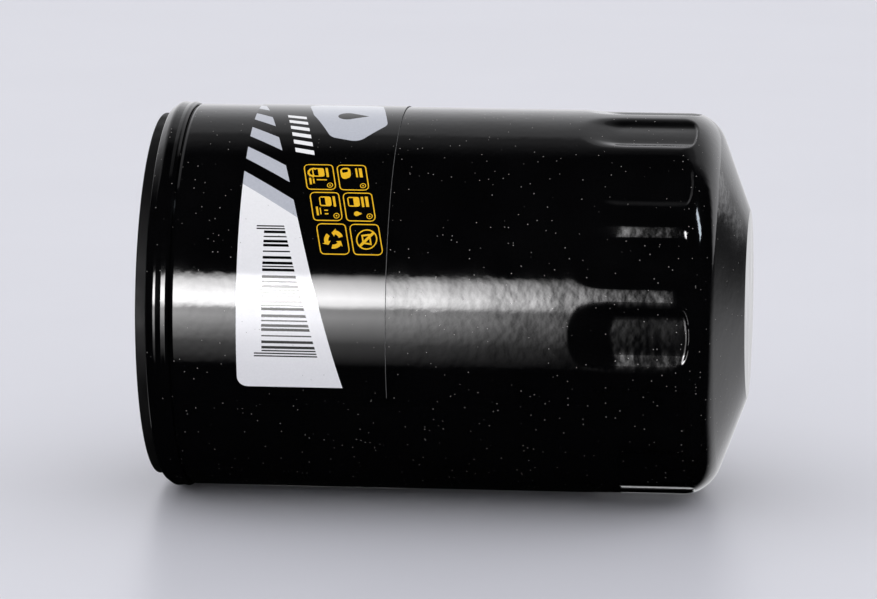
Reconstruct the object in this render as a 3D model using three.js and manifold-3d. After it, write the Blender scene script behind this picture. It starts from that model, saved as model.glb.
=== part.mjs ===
// Spin-on engine oil filter: a fluted steel can with everything it holds, lying on its side.
//
// Each part is drawn upright, turned about its own +Y, and stands at its height above the
// gasket's sealing face. The whole filter is then laid down, so that height becomes +X,
// up is +Z and -Y is the front. Everything is in millimetres.

import * as THREE from 'three';
import * as BufferGeometryUtils from 'three/addons/utils/BufferGeometryUtils.js';
import Module from 'manifold-3d';

const manifold = await Module();
manifold.setup();

// ---------------------------------------------------------------- driving dimensions

const BODY_RADIUS = 46;
const SEAM_RADIUS = 46.55;
const LENGTH = 142.2; // sealing face of the gasket to the flat of the dome end
const WALL = 0.5; // sheet of the can
const LID_SHEET = 0.7; // sheet of the gasket retainer, which is also the seaming lid
const CAP_SHEET = 0.6; // sheet of the end caps and of the valve cage
const GAP = 0.3; // between faces that touch

const FLUTE_COUNT = 15;
const FLUTE_DEPTH = 1.2;
const FLUTE_HALF_ANGLE = THREE.MathUtils.degToRad(10.3);
const FLUTE_PHASE = THREE.MathUtils.degToRad(0.6); // of the flute that faces front
const FLUTE_FLOOR = 0.45; // share of a flute's half width that is its floor, the rest is its side
const FLUTE_START = 102; // where the flutes begin to sink in
const FLUTE_FULL = 112; // where they reach their full depth

const CORNER_RADIUS = 10; // between the can's wall and its dome
const CORNER_START = 126.5;
const DOME_SLOPE = THREE.MathUtils.degToRad(20.5); // of the dome's cone, from the flat end

const CAN_FACETS = FLUTE_COUNT * 5;
const RING_FACETS = 60;
const INNER_FACETS = 40;
const SMALL_FACETS = 24;

// ---------------------------------------------------------------- helpers

/** Points of an arc in an outline of [height, radius] pairs. Angle 0 points outwards. */
function arc(centre, radius, from, to, steps) {
  const points = [];
  for (let i = 0; i <= steps; i += 1) {
    const angle = from + (to - from) * (i / steps);
    const height = centre[0] + radius * Math.sin(angle);
    points.push([height, centre[1] + radius * Math.cos(angle)]);
  }
  return points;
}

/** A solid turned from an outline of [height, radius] pairs, closed by itself or on the axis. */
function turned(outline, facets, startAngle = 0) {
  const points = outline.map(([height, radius]) => new THREE.Vector2(radius, height));
  const touchesAxis = points[0].x === 0;
  if (!touchesAxis) {
    points.push(points[0].clone());
  }
  if (THREE.ShapeUtils.area(points) < 0) {
    points.reverse();
  }
  return new THREE.LatheGeometry(points, facets, Math.PI / 2 - startAngle);
}

/** A rectangular ring: the plainest turned solid. */
function ring(height, innerRadius, outerRadius, facets) {
  const outline = [[0, innerRadius], [0, outerRadius], [height, outerRadius], [height, innerRadius]];
  return turned(outline, facets);
}

/** A sheet of even thickness, turned from the line that runs along its middle. */
function turnedSheet(line, thickness, facets, startAngle = 0) {
  const middle = line.map(([height, radius]) => new THREE.Vector2(height, radius));
  const side = (sign) => middle.map((point, i) => {
    const before = middle[Math.max(i - 1, 0)];
    const after = middle[Math.min(i + 1, middle.length - 1)];
    const into = point.clone().sub(before).normalize();
    const out = after.clone().sub(point).normalize();
    const along = into.clone().add(out).normalize();
    const across = new THREE.Vector2(-along.y, along.x);
    const oneLeg = i === 0 ? out : into;
    const reach = (sign * thickness) / 2 / along.dot(oneLeg);
    return [point.x + across.x * reach, point.y + across.y * reach];
  });
  return turned([...side(1), ...side(-1).reverse()], facets, startAngle);
}

/** An outline in the plane across the axis, raised by a height. */
function raised(shape, height) {
  const geometry = new THREE.ExtrudeGeometry(shape, { depth: height, bevelEnabled: false });
  geometry.rotateX(Math.PI / 2);
  geometry.translate(0, height, 0);
  return geometry;
}

/** A closed mesh as a solid that can be cut. */
function toSolid(geometry) {
  const bare = geometry.clone();
  bare.deleteAttribute('normal');
  bare.deleteAttribute('uv');
  const merged = BufferGeometryUtils.mergeVertices(bare);
  const mesh = new manifold.Mesh({
    numProp: 3,
    vertProperties: new Float32Array(merged.attributes.position.array),
    triVerts: new Uint32Array(merged.index.array),
  });
  return new manifold.Manifold(mesh);
}

/** The geometry with every cutter taken away. */
function cut(geometry, cutters) {
  let solid = toSolid(geometry);
  for (const cutter of cutters) {
    solid = solid.subtract(toSolid(cutter));
  }
  const mesh = solid.getMesh();
  const result = new THREE.BufferGeometry();
  result.setAttribute('position', new THREE.BufferAttribute(mesh.vertProperties, 3));
  result.setIndex(new THREE.BufferAttribute(mesh.triVerts, 1));
  return result;
}

/** A coil whose end turns lie close, with the radius given at each end. */
class Coil extends THREE.Curve {
  constructor(bottomRadius, topRadius, height, turns) {
    super();
    Object.assign(this, { bottomRadius, topRadius, height, turns });
  }

  getPoint(t, target = new THREE.Vector3()) {
    const eased = t - (0.8 * Math.sin(2 * Math.PI * t)) / (2 * Math.PI);
    const radius = THREE.MathUtils.lerp(this.bottomRadius, this.topRadius, eased);
    const angle = 2 * Math.PI * this.turns * t;
    return target.set(radius * Math.cos(angle), this.height * eased, radius * Math.sin(angle));
  }
}

/** A coil spring that stands between two faces, a wire's radius clear of both. */
function spring({ wire, bottomRadius, topRadius, space, turns, stepsPerTurn, sides }) {
  const section = new THREE.Shape();
  for (let i = 0; i < sides; i += 1) {
    const angle = (2 * Math.PI * i) / sides;
    const method = i === 0 ? 'moveTo' : 'lineTo';
    section[method]((wire / 2) * Math.cos(angle), (wire / 2) * Math.sin(angle));
  }
  const geometry = new THREE.ExtrudeGeometry(section, {
    steps: Math.round(turns * stepsPerTurn),
    extrudePath: new Coil(bottomRadius, topRadius, space - wire, turns),
    bevelEnabled: false,
  });
  geometry.translate(0, wire / 2, 0);
  return geometry;
}

/** A named part in its own material, standing at a height on the filter's axis. */
function part(name, geometry, material, height = 0) {
  const mesh = new THREE.Mesh(geometry, new THREE.MeshStandardMaterial(material));
  mesh.name = name;
  mesh.position.y = height;
  return mesh;
}

// ---------------------------------------------------------------- materials

const BLACK_PAINT = { color: 0x0c0c0e, roughness: 0.18, metalness: 0.0 };
const ZINC = { color: 0xb4b6b4, roughness: 0.38, metalness: 1.0 };
const BARE_STEEL = { color: 0x8f9296, roughness: 0.42, metalness: 1.0 };
const SPRING_STEEL = { color: 0x6d7074, roughness: 0.35, metalness: 1.0 };
const BLACK_RUBBER = { color: 0x17181a, roughness: 0.7, metalness: 0.0 };
const SILICONE = { color: 0xd4571c, roughness: 0.55, metalness: 0.0 };
const PAPER = { color: 0xc9b88e, roughness: 0.95, metalness: 0.0 };
const ADHESIVE = { color: 0x2f3a3c, roughness: 0.6, metalness: 0.0 };
const SEALING_COMPOUND = { color: 0x3c4246, roughness: 0.7, metalness: 0.0 };
const FILM = { color: 0x101012, roughness: 0.1, metalness: 0.0 };

// ---------------------------------------------------------------- the can

const RIM_START = 5.3; // the can's edge, inside the seam
const RIM_RADIUS = BODY_RADIUS - WALL; // of the neck that the seam grips
const NECK_END = 8.9;
const SHOULDER_END = 10.4; // from here on the can has its full radius

/** How far the flutes have sunk in at a height, from 0 to 1. */
function fluteFade(height) {
  return THREE.MathUtils.smoothstep(height, FLUTE_START, FLUTE_FULL);
}

/** How deep the nearest flute is across its width, at an angle around the axis. */
function fluteDepth(angle) {
  const pitch = (2 * Math.PI) / FLUTE_COUNT;
  const offset = angle - FLUTE_PHASE;
  const fromCentre = Math.abs(offset - pitch * Math.round(offset / pitch));
  const across = fromCentre / FLUTE_HALF_ANGLE;
  return FLUTE_DEPTH * (1 - THREE.MathUtils.smoothstep(across, FLUTE_FLOOR, 1));
}

/** How far the rounded corner has already drawn the can in at a height. */
function cornerDrop(height) {
  const beyond = THREE.MathUtils.clamp(height - CORNER_START, 0, CORNER_RADIUS);
  return CORNER_RADIUS - Math.sqrt(CORNER_RADIUS ** 2 - beyond ** 2);
}

/** How far a flute presses the can's sheet in at a place. It runs out on the corner. */
function fluteSink(height, angle) {
  return Math.max(0, fluteFade(height) * fluteDepth(angle) - cornerDrop(height));
}

/** One face of the can from its rim to the axis, inset from the outer face. */
function canFace(inset, cornerSteps) {
  const cornerEnd = Math.PI / 2 - DOME_SLOPE;
  const cornerCentre = [CORNER_START, BODY_RADIUS - CORNER_RADIUS];
  const corner = arc(cornerCentre, CORNER_RADIUS - inset, 0, cornerEnd, cornerSteps);
  const [coneHeight, coneRadius] = corner[corner.length - 1];
  const flatHeight = LENGTH - inset;
  const flatRadius = coneRadius - (flatHeight - coneHeight) / Math.tan(DOME_SLOPE);
  return [
    [RIM_START, RIM_RADIUS - inset],
    [NECK_END, RIM_RADIUS - inset],
    [SHOULDER_END, BODY_RADIUS - inset],
    [FLUTE_START, BODY_RADIUS - inset],
    [(FLUTE_START + FLUTE_FULL) / 2, BODY_RADIUS - inset],
    [FLUTE_FULL, BODY_RADIUS - inset],
    ...corner,
    [flatHeight, flatRadius],
    [flatHeight, 0],
  ];
}

/** The drawn can, with the flutes pressed into both faces of its sheet. */
function canister() {
  const outline = [...canFace(0, 4).reverse(), ...canFace(WALL, 4)];
  const geometry = turned(outline, CAN_FACETS, FLUTE_PHASE);
  const position = geometry.attributes.position;
  for (let i = 0; i < position.count; i += 1) {
    const x = position.getX(i);
    const z = position.getZ(i);
    const radius = Math.hypot(x, z);
    const scale = radius > 0 ? 1 - fluteSink(position.getY(i), Math.atan2(z, x)) / radius : 1;
    position.setXYZ(i, x * scale, position.getY(i), z * scale);
  }
  geometry.computeVertexNormals();
  return geometry;
}

// ---------------------------------------------------------------- the base end

const GASKET_INNER = 39.2;
const GASKET_OUTER = 43.65;
const GASKET_HEIGHT = 5.9;
const GASKET_BEVEL = 0.4;

const LID_FACE = 3; // the retainer's flat ring, below the gasket's sealing face
const CHANNEL_FLOOR = GASKET_HEIGHT + GAP;
const CHANNEL_OUTER = 44; // the channel's walls, on the gasket's side
const CHANNEL_INNER = 38.95;
const LID_OPENING = 29.5;
const SEAM_START = 2.475; // where the bend's face would be if it went on to a right angle
const SEAM_END = 8.3; // where the seam's outer leg stops
const SEAM_BEND = 2.65; // along the middle of the sheet, at the seam's shoulder

const PLATE_RADIUS = 37.9;
const PLATE_BOTTOM = LID_FACE + LID_SHEET + GAP;
const PLATE_THICKNESS = 3.5;
const PLATE_TOP = PLATE_BOTTOM + PLATE_THICKNESS;
const COLLAR_TOP = 13.5;
const COLLAR_RADIUS = 12;
const THREAD_BORE = 8.73; // radius of a 3/4-16 thread at its crests
const INLET_COUNT = 8;
const INLET_RADIUS = 3.75;
const INLET_CIRCLE = 22; // radius of the circle of inlet holes

const FLAP_RADIUS = 33;
const FLAP_THICKNESS = 0.9;

const SEALANT_INNER = 44.95;
const SEALANT_OUTER = 45.35;
const SEALANT_HEIGHT = 0.5;
const SEALANT_BOTTOM = RIM_START - GAP - SEALANT_HEIGHT;

/** The sealing gasket, a ring with its corners taken off. */
function sealingGasket() {
  return turned([
    [0, GASKET_INNER + GASKET_BEVEL],
    [0, GASKET_OUTER - GASKET_BEVEL],
    [GASKET_BEVEL, GASKET_OUTER],
    [GASKET_HEIGHT, GASKET_OUTER],
    [GASKET_HEIGHT, GASKET_INNER],
    [GASKET_BEVEL, GASKET_INNER],
  ], RING_FACETS);
}

/** The seaming lid: it folds over the can's edge and holds the gasket. Its facets face the can's. */
function gasketRetainer() {
  const half = LID_SHEET / 2;
  const outerLeg = SEAM_RADIUS - half;
  const innerLeg = CHANNEL_OUTER + half;
  const bendCentre = [SEAM_START + half + SEAM_BEND, outerLeg - SEAM_BEND];
  const bend = arc(bendCentre, SEAM_BEND, 0, -Math.PI / 3, 2);
  const fold = bend[bend.length - 1];
  const foldDepth = 0.2; // how far the fold's edge leans out past the bend
  const line = [
    [SEAM_END, outerLeg],
    ...bend,
    [fold[0] - foldDepth, innerLeg],
    [CHANNEL_FLOOR + half, innerLeg],
    [CHANNEL_FLOOR + half, CHANNEL_INNER - half],
    [LID_FACE + half, CHANNEL_INNER - half],
    [LID_FACE + half, LID_OPENING],
  ];
  return turnedSheet(line, LID_SHEET, CAN_FACETS, FLUTE_PHASE);
}

/** The thick threaded plate under the retainer, with its collar and inlet holes. */
function basePlate() {
  const body = turned([
    [PLATE_BOTTOM, THREAD_BORE],
    [PLATE_BOTTOM, PLATE_RADIUS],
    [PLATE_TOP, PLATE_RADIUS],
    [PLATE_TOP, COLLAR_RADIUS],
    [COLLAR_TOP, COLLAR_RADIUS],
    [COLLAR_TOP, THREAD_BORE],
  ], RING_FACETS);
  const inlets = [];
  for (let i = 0; i < INLET_COUNT; i += 1) {
    const angle = (2 * Math.PI * i) / INLET_COUNT;
    const inlet = new THREE.CylinderGeometry(INLET_RADIUS, INLET_RADIUS, 3 * PLATE_THICKNESS, 12);
    inlet.translate(INLET_CIRCLE * Math.cos(angle), PLATE_TOP, INLET_CIRCLE * Math.sin(angle));
    inlets.push(inlet);
  }
  return cut(body, inlets);
}

/** The soft check valve: a sleeve on the collar, and a flap that lies over the inlet holes. */
function drainbackValve() {
  const sleeveInner = COLLAR_RADIUS + GAP;
  const sleeveOuter = sleeveInner + FLAP_THICKNESS;
  const seat = PLATE_TOP + GAP;
  const sleeveTop = COLLAR_TOP - 0.5;
  const rootHeight = seat + 1.4; // of the flap's underside, beside the sleeve
  const bendRadius = INLET_CIRCLE + INLET_RADIUS + 1;
  return turned([
    [seat, sleeveInner],
    [sleeveTop, sleeveInner],
    [sleeveTop, sleeveOuter],
    [rootHeight + 1.5 * FLAP_THICKNESS, sleeveOuter],
    [seat + 1.3 * FLAP_THICKNESS, bendRadius],
    [seat + FLAP_THICKNESS, FLAP_RADIUS - 0.5],
    [seat, FLAP_RADIUS],
    [seat, FLAP_RADIUS - 2],
    [seat + 0.2, bendRadius],
    [rootHeight, sleeveOuter + 2],
    [rootHeight, sleeveOuter],
    [seat, sleeveOuter],
  ], INNER_FACETS);
}

// ---------------------------------------------------------------- the filter element

const NECK_RADIUS = 13.5; // inside of the lower end cap's neck, round the valve's sleeve
const LOWER_CAP = 14.5; // height of the lower cap's disc
const UPPER_CAP = 121.9;
const CAP_RADIUS = 37.9;
const CAP_SKIRT = 4.5; // height of the caps' rims
const ADHESIVE_DEPTH = 2;
const MEDIA_BOTTOM = LOWER_CAP + CAP_SHEET + ADHESIVE_DEPTH + 2 * GAP;
const MEDIA_TOP = UPPER_CAP - ADHESIVE_DEPTH - 2 * GAP;
const MEDIA_OUTER = 36.6; // radii of the folds, along the middle of the paper
const MEDIA_INNER = 19.5;
const PLEATS = 36;
const PAPER_THICKNESS = 0.7;
const TUBE_OUTER = 17.9;
const TUBE_WALL = 0.5;
const TUBE_HOLE = 2.4;
const TUBE_HOLE_ROWS = 5;
const TUBE_HOLES_PER_ROW = 6;

/** A stamped end cap with an outer skirt, drawn with its skirt and inner edge to one side. */
function endCap(edgeLine) {
  const skirtRadius = CAP_RADIUS - CAP_SHEET / 2;
  return turnedSheet([[CAP_SKIRT, skirtRadius], [0, skirtRadius], ...edgeLine], CAP_SHEET, INNER_FACETS);
}

/** The lower cap: its neck slides over the check valve's sleeve. */
function lowerEndCap() {
  const neck = NECK_RADIUS + CAP_SHEET / 2;
  return endCap([[0, neck], [-2.6, neck]]);
}

/** The upper cap, turned over: its plain hole is the seat of the bypass valve. */
function upperEndCap() {
  const geometry = endCap([[0, VALVE_SEAT_RADIUS]]);
  geometry.rotateX(Math.PI);
  return geometry;
}

/** A point of the folded paper's outline, at a fold's angle. */
function foldPoint(angle, radius) {
  return new THREE.Vector2(radius * Math.cos(angle), radius * Math.sin(angle));
}

/** One side of the zigzag: every fold is a short flat between two legs. */
function foldLine(outerRadius, innerRadius, outerFlat, innerFlat) {
  const points = [];
  const pitch = (2 * Math.PI) / PLEATS;
  for (let i = 0; i < PLEATS; i += 1) {
    const outward = i * pitch;
    const inward = (i + 0.5) * pitch;
    points.push(foldPoint(outward - outerFlat / outerRadius, outerRadius));
    points.push(foldPoint(outward + outerFlat / outerRadius, outerRadius));
    points.push(foldPoint(inward - innerFlat / innerRadius, innerRadius));
    points.push(foldPoint(inward + innerFlat / innerRadius, innerRadius));
  }
  return points;
}

/** The pleated paper, one endless zigzag round the centre tube. */
function mediaPack() {
  const half = PAPER_THICKNESS / 2;
  const wide = PAPER_THICKNESS;
  const narrow = 0.1;
  const shape = new THREE.Shape(foldLine(MEDIA_OUTER + half, MEDIA_INNER + half, wide, narrow));
  shape.holes.push(new THREE.Path(foldLine(MEDIA_OUTER - half, MEDIA_INNER - half, narrow, wide)));
  return raised(shape, MEDIA_TOP - MEDIA_BOTTOM);
}

/** The folded metal strip that joins the two ends of the paper, over one outer fold. */
function mediaSeamClip() {
  const sheet = 0.35;
  const outside = MEDIA_OUTER + PAPER_THICKNESS / 2 + GAP + sheet;
  const length = 3;
  const halfWidth = 1.75;
  const shape = new THREE.Shape([
    new THREE.Vector2(outside, -halfWidth),
    new THREE.Vector2(outside, halfWidth),
    new THREE.Vector2(outside - length, halfWidth),
    new THREE.Vector2(outside - length, halfWidth - sheet),
    new THREE.Vector2(outside - sheet, halfWidth - sheet),
    new THREE.Vector2(outside - sheet, sheet - halfWidth),
    new THREE.Vector2(outside - length, sheet - halfWidth),
    new THREE.Vector2(outside - length, -halfWidth),
  ]);
  return raised(shape, MEDIA_TOP - MEDIA_BOTTOM - 2 * CAP_SKIRT);
}

/** The perforated tube that carries the paper and leads the clean oil out. */
function centerTube(height) {
  const tube = ring(height, TUBE_OUTER - TUBE_WALL, TUBE_OUTER, INNER_FACETS);
  const holes = [];
  for (let row = 0; row < TUBE_HOLE_ROWS; row += 1) {
    const along = (height * (row + 0.5)) / TUBE_HOLE_ROWS;
    for (let i = 0; i < TUBE_HOLES_PER_ROW; i += 1) {
      const angle = (2 * Math.PI * (i + (row % 2) / 2)) / TUBE_HOLES_PER_ROW;
      const hole = new THREE.CylinderGeometry(TUBE_HOLE, TUBE_HOLE, TUBE_OUTER, 6);
      hole.rotateZ(Math.PI / 2);
      hole.translate(TUBE_OUTER, 0, 0);
      hole.rotateY(angle);
      hole.translate(0, along, 0);
      holes.push(hole);
    }
  }
  return cut(tube, holes);
}

// ---------------------------------------------------------------- the bypass valve

const VALVE_SEAT_RADIUS = 9; // the hole in the upper cap
const VALVE_RADIUS = 10.8;
const SEAL_THICKNESS = 1.5;
const DISC_THICKNESS = 1.2;
const RIVET_RADIUS = 2.3;
const RIVET_HEAD = 4.5;
const RIVET_CLEARANCE = 0.3;
const CAGE_RADIUS = 12.6;
const CAGE_FLANGE = 16.5;
const CAGE_FLOOR = 105;
const SEAL_BOTTOM = UPPER_CAP - GAP - SEAL_THICKNESS;
const DISC_BOTTOM = SEAL_BOTTOM - GAP - DISC_THICKNESS;
const WINDOW_COUNT = 4;

/** The cage that hangs under the upper cap, with windows that let the oil by. */
function bypassValveCage() {
  const half = CAP_SHEET / 2;
  const wall = CAGE_RADIUS - half;
  const top = UPPER_CAP - GAP - half - CAGE_FLOOR;
  const body = turnedSheet([
    [top, CAGE_FLANGE],
    [top, wall],
    [half, wall],
    [half, RIVET_RADIUS + RIVET_CLEARANCE],
  ], CAP_SHEET, SMALL_FACETS);
  const windows = [];
  for (let i = 0; i < WINDOW_COUNT / 2; i += 1) {
    const window = new THREE.BoxGeometry(3 * CAGE_RADIUS, 9, 9);
    window.rotateY((2 * Math.PI * (i + 0.5)) / WINDOW_COUNT);
    window.translate(0, top / 2, 0);
    windows.push(window);
  }
  return cut(body, windows);
}

/** The rivet that holds seal and disc together and guides them in the cage's floor. */
function bypassValveRivet(length, headHeight) {
  return turned([
    [0, 0],
    [0, RIVET_RADIUS],
    [length, RIVET_RADIUS],
    [length, RIVET_HEAD],
    [length + headHeight, RIVET_HEAD - headHeight / 2],
    [length + headHeight, 0],
  ], SMALL_FACETS);
}

// ---------------------------------------------------------------- the label

const LABEL_START = 24.4;
const LABEL_WIDTH = 35.2;
const LABEL_INNER = BODY_RADIUS + 0.06;
const LABEL_THICKNESS = 0.12;
const LABEL_FROM = THREE.MathUtils.degToRad(-20);
const LABEL_WRAP = THREE.MathUtils.degToRad(300);

/** The printed film, which goes most of the way round the can. */
function labelFilm() {
  const steps = RING_FACETS;
  const outer = [];
  const inner = [];
  for (let i = 0; i <= steps; i += 1) {
    const angle = LABEL_FROM + (LABEL_WRAP * i) / steps;
    outer.push(foldPoint(angle, LABEL_INNER + LABEL_THICKNESS));
    inner.push(foldPoint(angle, LABEL_INNER));
  }
  return raised(new THREE.Shape([...outer, ...inner.reverse()]), LABEL_WIDTH);
}

// ---------------------------------------------------------------- assembly

const tubeBottom = LOWER_CAP + CAP_SHEET + GAP;
const tubeHeight = UPPER_CAP - GAP - tubeBottom;
const adhesiveInner = TUBE_OUTER + GAP;
const adhesiveOuter = CAP_RADIUS - CAP_SHEET - GAP;
const adhesive = () => ring(ADHESIVE_DEPTH, adhesiveInner, adhesiveOuter, INNER_FACETS);
const capTop = UPPER_CAP + CAP_SHEET;
const valvePlate = (thickness) => {
  const hole = RIVET_RADIUS + RIVET_CLEARANCE;
  return ring(thickness, hole, VALVE_RADIUS, SMALL_FACETS);
};
const rivetBottom = CAGE_FLOOR - 1;

const sealant = ring(SEALANT_HEIGHT, SEALANT_INNER, SEALANT_OUTER, INNER_FACETS);
const housing = new THREE.Group();
housing.add(
  part('canister', canister(), BLACK_PAINT),
  part('gasket_retainer', gasketRetainer(), BLACK_PAINT),
  part('seam_sealant', sealant, SEALING_COMPOUND, SEALANT_BOTTOM),
  part('sealing_gasket', sealingGasket(), BLACK_RUBBER),
  part('base_plate', basePlate(), BARE_STEEL),
  part('label_film', labelFilm(), FILM, LABEL_START),
  part('drainback_valve', drainbackValve(), SILICONE),
);

const element = new THREE.Group();
element.add(
  part('lower_end_cap', lowerEndCap(), ZINC, LOWER_CAP + CAP_SHEET / 2),
  part('lower_potting', adhesive(), ADHESIVE, LOWER_CAP + CAP_SHEET + GAP),
  part('media_pack', mediaPack(), PAPER, MEDIA_BOTTOM),
  part('media_seam_clip', mediaSeamClip(), BARE_STEEL, MEDIA_BOTTOM + CAP_SKIRT),
  part('center_tube', centerTube(tubeHeight), BARE_STEEL, tubeBottom),
  part('upper_potting', adhesive(), ADHESIVE, UPPER_CAP - GAP - ADHESIVE_DEPTH),
  part('upper_end_cap', upperEndCap(), ZINC, UPPER_CAP + CAP_SHEET / 2),
  part('bypass_valve_cage', bypassValveCage(), ZINC, CAGE_FLOOR),
);

const bypassValve = new THREE.Group();
bypassValve.add(
  part('bypass_valve_disc', valvePlate(DISC_THICKNESS), BARE_STEEL, DISC_BOTTOM),
  part('bypass_valve_seal', valvePlate(SEAL_THICKNESS), BLACK_RUBBER, SEAL_BOTTOM),
  part('bypass_valve_rivet', bypassValveRivet(UPPER_CAP - rivetBottom, 1.1), BARE_STEEL, rivetBottom),
);
element.add(bypassValve);

const bypassSpringSpace = DISC_BOTTOM - CAGE_FLOOR - CAP_SHEET - 2 * GAP;
const bypassSpring = spring({
  wire: 1.2,
  bottomRadius: 7,
  topRadius: 7,
  space: bypassSpringSpace,
  turns: 4,
  stepsPerTurn: 12,
  sides: 6,
});
element.add(part('bypass_valve_spring', bypassSpring, SPRING_STEEL, CAGE_FLOOR + CAP_SHEET + GAP));

const elementSpring = spring({
  wire: 2.2,
  bottomRadius: 24,
  topRadius: 15,
  space: LENGTH - WALL - capTop - 2 * GAP,
  turns: 3.5,
  stepsPerTurn: 14,
  sides: 8,
});
housing.add(part('element_spring', elementSpring, SPRING_STEEL, capTop + GAP));

const filter = new THREE.Group();
filter.rotation.z = -Math.PI / 2;
filter.add(housing, element);

export default filter;
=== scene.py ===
"""A spin-on engine oil filter: its looks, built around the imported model.

Shapes are worked out in millimetres, in the frame's own axes: X runs along the filter from the
gasket's sealing face to the dome end, +Z is up and -Y is the front. An angle goes round the axis,
in degrees, from the front towards the top. Lights, floor and camera are in metres.
"""

import math
from typing import NamedTuple

import bmesh
import bpy
import numpy as np
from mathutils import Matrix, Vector
from mathutils.geometry import delaunay_2d_cdt


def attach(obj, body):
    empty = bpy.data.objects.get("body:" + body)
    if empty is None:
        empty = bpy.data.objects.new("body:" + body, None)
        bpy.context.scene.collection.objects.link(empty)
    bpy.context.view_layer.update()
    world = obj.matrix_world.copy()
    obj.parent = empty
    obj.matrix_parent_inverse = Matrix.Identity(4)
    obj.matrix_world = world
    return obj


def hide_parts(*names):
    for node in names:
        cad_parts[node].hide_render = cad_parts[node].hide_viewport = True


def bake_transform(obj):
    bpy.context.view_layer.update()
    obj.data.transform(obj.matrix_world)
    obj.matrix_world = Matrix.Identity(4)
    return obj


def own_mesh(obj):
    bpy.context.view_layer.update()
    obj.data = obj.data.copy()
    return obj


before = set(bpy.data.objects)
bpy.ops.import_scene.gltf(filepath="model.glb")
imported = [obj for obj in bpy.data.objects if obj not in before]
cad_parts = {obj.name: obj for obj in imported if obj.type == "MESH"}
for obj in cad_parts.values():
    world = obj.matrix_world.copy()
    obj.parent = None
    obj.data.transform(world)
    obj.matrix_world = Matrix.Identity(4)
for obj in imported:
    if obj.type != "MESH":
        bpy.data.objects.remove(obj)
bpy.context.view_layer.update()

MM = 0.001


# ---------------------------------------------------------------- sizes, from the frame


class Size(NamedTuple):
    """Where a CAD node lies along the axis, and its smallest and largest radius, in mm."""

    start: float
    end: float
    inner: float
    outer: float


def size_of(node):
    points = np.array([v.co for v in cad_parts[node].data.vertices]) / MM
    radius = np.hypot(points[:, 1], points[:, 2])
    return Size(points[:, 0].min(), points[:, 0].max(), radius.min(), radius.max())


CAN = size_of("canister")
LID = size_of("gasket_retainer")
GASKET = size_of("sealing_gasket")
PLATE = size_of("base_plate")
FILM = size_of("label_film")
TUBE = size_of("center_tube")
MEDIA = size_of("media_pack")
CAGE = size_of("bypass_valve_cage")

WALL = 0.5  # sheet of the can
LID_SHEET = 0.7
CAP_SHEET = 0.6
SMOOTH = 144  # facets round a large turned part
SMALL = 72  # facets round a small one
ON_AXIS = 1e-6  # a radius below this is on the axis


# ---------------------------------------------------------------- mesh helpers


def spun(x, radius, angle):
    """The point at x along the axis, at a radius, and at an angle round the axis."""
    turn = math.radians(angle)
    return (x, -radius * math.cos(turn), radius * math.sin(turn))


def smoothstep(value, low, high):
    t = np.clip((value - low) / (high - low), 0, 1)
    return t * t * (3 - 2 * t)


def rounded(corners, closed=True, steps=5):
    """An outline through corners (x, radius, fillet), with an arc for each fillet."""
    points = []
    count = len(corners)
    for i, (x, radius, fillet) in enumerate(corners):
        here = Vector((x, radius))
        is_end = not closed and i in (0, count - 1)
        if fillet == 0 or is_end:
            points.append((x, radius))
            continue
        before = (Vector(corners[i - 1][:2]) - here).normalized()
        after = (Vector(corners[(i + 1) % count][:2]) - here).normalized()
        half = before.angle(after) / 2
        centre = here + (before + after).normalized() * (fillet / math.sin(half))
        start = here + before * (fillet / math.tan(half)) - centre
        end = here + after * (fillet / math.tan(half)) - centre
        spread = start.angle(end)
        for k in range(steps + 1):
            t = k / steps
            arm = start * math.sin((1 - t) * spread) + end * math.sin(t * spread)
            points.append(tuple(centre + arm / math.sin(spread)))
    return points


def thick(line, thickness):
    """The closed outline of a sheet whose middle follows an open line, with rounded ends."""
    middle = [Vector(point) for point in line]
    last = len(middle) - 1
    left, right = [], []
    for i, point in enumerate(middle):
        into = (point - middle[i - 1]).normalized() if i > 0 else None
        out = (middle[i + 1] - point).normalized() if i < last else None
        into, out = into or out, out or into
        along = (into + out).normalized()
        across = Vector((-along.y, along.x)) * (thickness / 2 / max(along.dot(into), 0.5))
        left.append(point + across)
        right.append(point - across)
    nose = Vector(middle[-1] + (middle[-1] - middle[-2]).normalized() * thickness * 0.25)
    tail = Vector(middle[0] + (middle[0] - middle[1]).normalized() * thickness * 0.25)
    return [tuple(p) for p in [*left, nose, *right[::-1], tail]]


def skinned(rings):
    """Faces between rings of point numbers, with the last ring joined to the first."""
    count = len(rings[0])
    faces = []
    for ring, following in zip(rings, rings[1:] + rings[:1]):
        for i in range(count):
            j = (i + 1) % count
            corners = dict.fromkeys([ring[i], ring[j], following[j], following[i]])
            if len(corners) > 2:
                faces.append(list(corners))
    return faces


def lathe(outline, count=SMOOTH):
    """A closed outline of (x, radius) turned round the axis. A point on the axis stays single."""
    points, rings = [], []
    for x, radius in outline:
        first = len(points)
        if radius == 0:
            rings.append([first] * count)
            points.append((x, 0, 0))
        else:
            rings.append(range(first, first + count))
            points += [spun(x, radius, 360 * i / count) for i in range(count)]
    return points, skinned(rings)


def rounded_ring(node, fillet):
    """The outline of a ring of rectangular section with its edges rounded."""
    ring = size_of(node)
    near = [(ring.start, ring.inner, fillet), (ring.start, ring.outer, fillet)]
    far = [(ring.end, ring.outer, fillet), (ring.end, ring.inner, fillet)]
    return rounded(near + far)


def prism(outline, near, far):
    """A closed outline of (x, z) points, run to the front from one distance to another."""
    count = len(outline)
    points = [(x, -reach, z) for reach in (near, far) for x, z in outline]
    faces = [[k, (k + 1) % count, count + (k + 1) % count, count + k] for k in range(count)]
    faces += [list(range(count))[::-1], list(range(count, 2 * count))]
    return points, faces


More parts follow.
